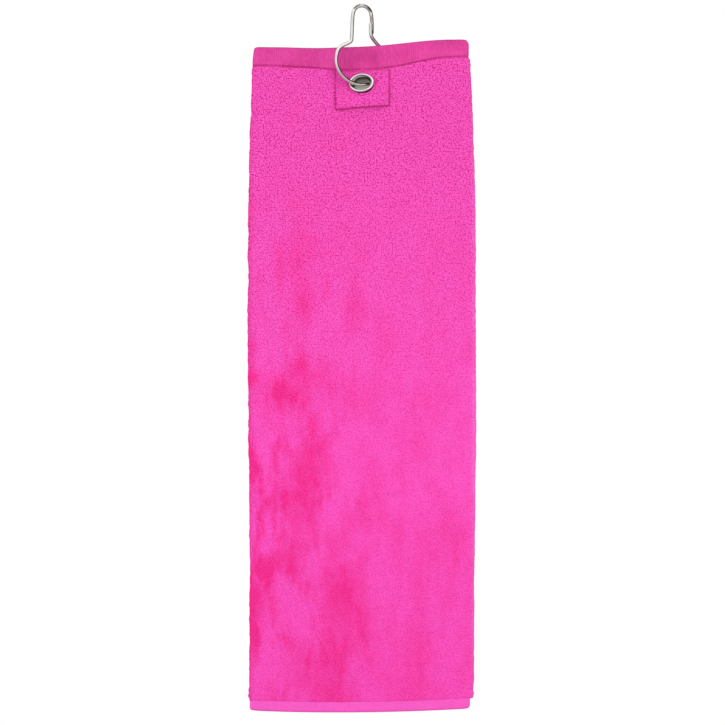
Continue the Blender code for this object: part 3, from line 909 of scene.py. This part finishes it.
def make_eyelet():
    seat = PINCHED_HALF + PATCH_THICKNESS * PATCH_PINCHED + 0.72
    back = -PINCHED_HALF - 0.7
    rim = arc_profile((MOUTH_RADIUS + 0.2, seat + 0.1), (0.95, 0.8), 175, 20, 14)
    edge = arc_profile((FLANGE_RADIUS - 0.25, seat - 0.05), (0.25, 0.22), 60, -70, 6)
    under = [(FLANGE_RADIUS - 0.5, seat - 0.2), (BARREL_RADIUS, seat), (BARREL_RADIUS, back - 0.6)]
    curl = arc_profile((BARREL_RADIUS + 0.1, back - 0.85), (0.95, 0.5), 70, -175, 12)
    throat = [
        (THROAT_RADIUS + 0.55, back - 0.75),
        (THROAT_RADIUS + 0.1, back - 0.3),
        (THROAT_RADIUS, seat - 3.4),
        (THROAT_RADIUS + 0.08, seat - 2.8),
        (THROAT_RADIUS + 0.3, seat - 2.1),
        (THROAT_RADIUS + 0.62, seat - 1.5),
        (THROAT_RADIUS + 1.05, seat - 0.95),
        (THROAT_RADIUS + 1.5, seat - 0.45),
    ]
    # Painted shade on the metal from point to point: none on the rim, painted shade under it and deepest in
    # the throat.
    painted_brightness = [0.9] + [1.0] * 13 + [0.7, 0.5, 0.4, 0.35, 0.35, 0.35] + [0.3] * 3 + [0.7] * 12
    painted_brightness += [0.15, 0.12, 0.12, 0.16, 0.24, 0.38, 0.58, 0.8]
    front = turned("eyelet_front", rim + edge + under + curl + throat, painted_brightness, 96, NICKEL)
    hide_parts("eyelet")
    seat_back = -PINCHED_HALF - 0.42
    ring = arc_profile((WASHER_RADIUS - 0.45, seat_back - 0.3), (0.45, 0.3), 90, -90, 7)
    profile = [(BARREL_RADIUS + 0.3, seat_back)] + ring + [(BARREL_RADIUS + 0.3, seat_back - 0.5)]
    washer = turned("eyelet_back", profile, [1.0] * len(profile), 72, NICKEL)
    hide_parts("eyelet_washer")
    return front, washer


# ---------------------------------------------------------------- clip


def clip_place(along, height, depth=0.0):
    return np.array(
        [
            along * math.cos(CLIP_YAW) - depth * math.sin(CLIP_YAW),
            along * math.sin(CLIP_YAW) + depth * math.cos(CLIP_YAW),
            height,
        ]
    )


def ring_place(angle):
    return clip_place(RING_HALF_WIDTH * math.cos(angle), RING_CENTRE + RING_HALF_HEIGHT * math.sin(angle))


def bow_place(angle):
    return clip_place(
        BOW_CENTRE + BOW_HALF_WIDTH * math.cos(angle), BOW_SPRING_LINE + BOW_HEIGHT * math.sin(angle)
    )


def bent_through(*places):
    """Points of the wire, each given as along, height and depth in the clip's own plane."""
    return [clip_place(*place) for place in places]


def arc(place, first, last, steps):
    return [place(math.radians(first + (last - first) * i / steps)) for i in range(steps + 1)]


def hook_route():
    nose = bent_through((9.1, -18.6, 1.85), (9.2, -16.2, 1.85), (9.25, -13.5, 1.85), (8.95, -10.0, 1.4))
    leg = bent_through(
        (-8.0, -10.0), (-8.2, -14.0), (-8.6, -22.5), (-9.2, -25.4), (-12.2, -27.4), (-15.8, -29.0)
    )
    return nose + arc(bow_place, 0, 180, 6) + leg + arc(ring_place, 152, 270, 8)


def gate_route():
    end = bent_through(
        (14.2, -28.4), (10.0, -24.4, -0.3), (7.4, -21.5, -1.1), (6.75, -19.0, -1.4), (6.6, -15.6, -1.4),
        (6.55, -12.4, -1.4),
    )
    return arc(ring_place, -90, 24, 8) + end


def smooth_route(points, steps):
    padded = [2 * points[0] - points[1], *points, 2 * points[-1] - points[-2]]
    route = []
    for a, b, c, d in zip(padded, padded[1:], padded[2:], padded[3:]):
        bend, twist = 2 * a - 5 * b + 4 * c - d, 3 * b - a - 3 * c + d
        for i in range(steps):
            t = i / steps
            route.append(0.5 * (2 * b + (c - a) * t + bend * t * t + twist * t**3))
    route.append(points[-1])
    return np.array(route)


def unit(vectors):
    return vectors / np.linalg.norm(vectors, axis=1)[:, None]


def painted_wire_shade(middles, outward, is_hook):
    """Painted shade on the wire: along the inside of the ring, as dark reflection streaks on the bow's
    shoulders, and at the nose's end.
    """
    inward = unit(clip_place(0.0, RING_CENTRE) - middles)
    inner = smooth(((outward * inward).sum(axis=1) - 0.22) / 0.2)
    painted_dark = smooth((-28.0 - middles[:, 2]) / 4.0) * inner
    if not is_hook:
        return painted_dark
    from_bow = middles - clip_place(BOW_CENTRE, BOW_SPRING_LINE)
    along = from_bow[:, 0] / math.cos(CLIP_YAW)
    angle = np.degrees(np.arctan2(from_bow[:, 2] / BOW_HEIGHT, along / BOW_HALF_WIDTH))
    outer = (outward * unit(from_bow)).sum(axis=1)
    front = clip_place(0.0, 0.0, -1.0)
    facing = 0.4 * outer + 0.92 * (outward @ front)
    # Painted dark reflection streaks on the bow's shoulders.
    right = smooth(2.0 - np.abs(angle - 42.0) / 12.0) * smooth((facing - 0.55) / 0.2)
    left = smooth(2.0 - np.abs(angle - 125.0) / 14.0) * smooth((outer - 0.15) / 0.25)
    # Painted shade at the nose's end.
    tip_painted_shade = smooth((-15.8 - middles[:, 2]) / 1.6) * (along > 4.0) * (middles[:, 2] > -24.0)
    return np.maximum.reduce([painted_dark, right, 0.8 * left, tip_painted_shade])


def wire(name, route, dome_start, dome_end):
    """A round wire along the route, domed at its free end: the hook's start and the gate's end."""
    sides = 20
    tangent = np.gradient(route, axis=0)
    tangent /= np.linalg.norm(tangent, axis=1)[:, None]
    flat = clip_place(0.0, 0.0, 1.0)
    normal = np.cross(tangent, flat)
    normal /= np.linalg.norm(normal, axis=1)[:, None]
    binormal = np.cross(tangent, normal)
    centres, radii = [*route], [WIRE_RADIUS] * len(route)
    frames = list(range(len(route)))
    for at_start, wanted in ((True, dome_start), (False, dome_end)):
        if not wanted:
            continue
        index, sign = (0, -1.0) if at_start else (len(route) - 1, 1.0)
        for angle in np.radians([25, 50, 72, 86]):
            reach = 0.9 * WIRE_RADIUS * math.sin(angle)
            where = 0 if at_start else len(centres)
            centres.insert(where, route[index] + sign * tangent[index] * reach)
            radii.insert(where, WIRE_RADIUS * math.cos(angle))
            frames.insert(where, index)
    angles = 2 * math.pi * np.arange(sides) / sides
    rings = [
        centre + radius * (np.cos(angles)[:, None] * normal[i] + np.sin(angles)[:, None] * binormal[i])
        for centre, radius, i in zip(centres, radii, frames)
    ]
    points = np.concatenate(rings)
    faces = grid_faces(len(rings), sides, closed=True).tolist()
    if dome_start:
        faces.append(list(range(sides)))
    if dome_end:
        faces.append(list(range((len(rings) - 1) * sides, len(rings) * sides))[::-1])
    middles = np.repeat(centres, sides, axis=0)
    outward = (points - middles) / np.repeat(radii, sides)[:, None]
    # Painted shade and painted reflection streaks darken the plating through this attribute.
    painted_brightness = 1.0 - 0.93 * painted_wire_shade(middles, outward, is_hook=dome_start)
    return new_mesh(name, points, faces, NICKEL, {"painted_brightness": painted_brightness})


def make_clip():
    """The hook side stops at the bottom of the ring, where the springing side carries on."""
    hook = wire("clip_wire_hook", smooth_route(hook_route(), 8), True, False)
    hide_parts("clip_hook")
    gate = wire("clip_wire_gate", smooth_route(gate_route(), 8), False, True)
    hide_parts("clip_gate")
    return hook, gate


# ---------------------------------------------------------------- stage


def make_camera():
    data = bpy.data.cameras.new("camera")
    data.lens = SENSOR * CAMERA_DISTANCE / VIEW_SIDE
    data.sensor_width = SENSOR
    camera = bpy.data.objects.new("camera", data)
    bpy.context.scene.collection.objects.link(camera)
    camera.location = Vector((VIEW_CENTRE[0], -CAMERA_DISTANCE, VIEW_CENTRE[1])) * MM
    camera.rotation_euler = (math.radians(90), 0.0, 0.0)
    bpy.context.scene.camera = camera


def area_light(name, place, aim, size, power):
    """A square lamp that shapes the cloth and isn't seen in the metal."""
    data = bpy.data.lights.new(name, "AREA")
    data.size = size
    data.energy = power
    lamp = bpy.data.objects.new(name, data)
    lamp.visible_glossy = False
    bpy.context.scene.collection.objects.link(lamp)
    lamp.location = place
    lamp.rotation_euler = (Vector(aim) - Vector(place)).to_track_quat("-Z", "Y").to_euler()


def dark_spot(tree, direction, centre, least):
    """A round dark patch of the studio, which draws a streak on the wire where that bends."""
    toward = add(tree, "ShaderNodeVectorMath", operation="DOT_PRODUCT")
    tree.links.new(direction, toward.inputs[0])
    toward.inputs[1].default_value = Vector(centre).normalized()
    return ramp(tree, toward.outputs["Value"], [(0.865, WHITE), (0.90, (least, least, least))])


def make_world():
    """Even light for the cloth, a studio with dark edges for the metal, and a white background.

    The background carries a painted shade where it would show through the eyelet, standing in for the shade
    behind the hole.
    """
    world = bpy.data.worlds.new("studio")
    bpy.context.scene.world = world
    world.use_nodes = True
    tree = world.node_tree
    tree.nodes.clear()
    out = add(tree, "ShaderNodeOutputWorld")
    direction = add(tree, "ShaderNodeTexCoord").outputs["Generated"]
    split = add(tree, "ShaderNodeSeparateXYZ")
    tree.links.new(direction, split.inputs[0])
    x, y, z = split.outputs

    height = share_of(tree, z, -1.0, 1.0)
    soft = ramp(tree, height, [(0.0, (0.88, 0.87, 0.88)), (0.5, (0.96, 0.96, 0.96)), (1.0, WHITE)])
    room = add(tree, "ShaderNodeBackground", Strength=0.77)
    tree.links.new(soft, room.inputs["Color"])

    sides = ramp(
        tree,
        share_of(tree, x, -1.0, 1.0),
        [
            (0.0, (0.75, 0.74, 0.72)),
            (0.03, (0.45, 0.44, 0.43)),
            (0.10, WHITE),
            (0.70, WHITE),
            (0.90, (0.85, 0.84, 0.83)),
            (0.96, (0.4, 0.39, 0.38)),
            (1.0, (0.3, 0.3, 0.3)),
        ],
    )
    heights = ramp(
        tree,
        height,
        [
            (0.0, (0.3, 0.29, 0.28)),
            (0.18, (0.2, 0.19, 0.18)),
            (0.3, (0.75, 0.74, 0.72)),
            (0.5, WHITE),
            (1.0, (1.45, 1.45, 1.45)),
        ],
    )
    back = ramp(
        tree,
        share_of(tree, x, -1.0, 0.6),
        [(0.0, (0.85, 0.85, 0.85)), (0.5, (0.45, 0.45, 0.44)), (1.0, (0.15, 0.14, 0.14))],
    )
    behind_it = mix(tree, share_of(tree, y, -0.1, 0.15), WHITE, back)
    spot = dark_spot(tree, direction, (0.92, -0.05, 0.37), 0.06)
    walls = mix(tree, 1.0, mix(tree, 1.0, sides, heights, "MULTIPLY"), behind_it, "MULTIPLY")
    studio = add(tree, "ShaderNodeBackground", Strength=1.05)
    tree.links.new(mix(tree, 1.0, walls, spot, "MULTIPLY"), studio.inputs["Color"])

    # Painted shade: camera rays that pass through the eyelet see a dim grey patch instead of the white
    # background, in place of the shade behind the hole.
    slope_x, slope_z = maths(tree, "DIVIDE", x, y), maths(tree, "DIVIDE", z, y)
    behind_x = -VIEW_CENTRE[0] / CAMERA_DISTANCE
    behind_z = (EYELET[2] - 0.8 - VIEW_CENTRE[1]) / CAMERA_DISTANCE
    across = times(tree, maths(tree, "SUBTRACT", slope_x, behind_x), CAMERA_DISTANCE / 7.5)
    upward = times(tree, maths(tree, "SUBTRACT", slope_z, behind_z), CAMERA_DISTANCE / 6.0)
    reach = maths(tree, "ADD", times(tree, across, across), times(tree, upward, upward))
    hidden = times(tree, maths(tree, "LESS_THAN", reach, 1.0), maths(tree, "GREATER_THAN", y, 0.0))
    painted_shade_behind_eyelet = ramp(
        tree,
        share_of(tree, upward, 0.9, -0.9),
        [(0.0, srgb(92, 82, 76)), (0.5, srgb(120, 116, 108)), (1.0, srgb(186, 188, 180))],
    )
    seen = add(tree, "ShaderNodeBackground", Strength=1.0)
    tree.links.new(mix(tree, hidden, WHITE, painted_shade_behind_eyelet), seen.inputs["Color"])

    path = add(tree, "ShaderNodeLightPath")
    shader = room.outputs[0]
    for kind, other in (("Is Glossy Ray", studio), ("Is Camera Ray", seen)):
        either = add(tree, "ShaderNodeMixShader")
        tree.links.new(path.outputs[kind], either.inputs[0])
        tree.links.new(shader, either.inputs[1])
        tree.links.new(other.outputs[0], either.inputs[2])
        shader = either.outputs[0]
    tree.links.new(shader, out.inputs[0])


def make_stage():
    bpy.context.scene.view_settings.view_transform = "Standard"
    make_world()
    mid = Vector((VIEW_CENTRE[0], 0.0, VIEW_CENTRE[1])) * MM
    area_light("key", mid + Vector((-1.3, -2.4, 1.1)), mid, 2.4, 33.0)
    area_light("fill", mid + Vector((0.4, -2.5, -1.3)), mid, 2.0, 24.0)
    area_light("right", mid + Vector((2.4, -1.2, 0.2)), mid, 2.0, 20.0)
    area_light("back", mid + Vector((-0.6, 2.4, 1.2)), mid, 2.4, 42.0)
    finish, tree, shader = nodes_of("floor")
    place = add(tree, "ShaderNodeTexCoord").outputs["Object"]
    greys = [(0.3, (0.40, 0.40, 0.39)), (0.7, (0.46, 0.46, 0.45))]
    tree.links.new(ramp(tree, noise_node(tree, place, 3.0), greys), shader.inputs["Base Color"])
    shader.inputs["Roughness"].default_value = 0.8
    floor_height = VIEW_CENTRE[1] - 480.0
    steps = np.linspace(-1400.0, 1400.0, 8)
    x, y = np.meshgrid(steps, steps)
    points = np.stack([x, y, 0 * x + floor_height], axis=-1).reshape(-1, 3)
    floor = new_mesh("floor", points, grid_faces(8, 8).tolist(), finish)


# ---------------------------------------------------------------- assembly

make_camera()
make_stage()
cloth = make_cloth()
band = make_band()
hem = make_hem()
patch = make_patch()
stitches = make_threads()
eyelet_parts = make_eyelet()
hook, gate = make_clip()

for piece in (cloth, band, hem, patch, *stitches, *eyelet_parts):
    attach(piece, "towel")
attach(hook, "clip")
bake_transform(gate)
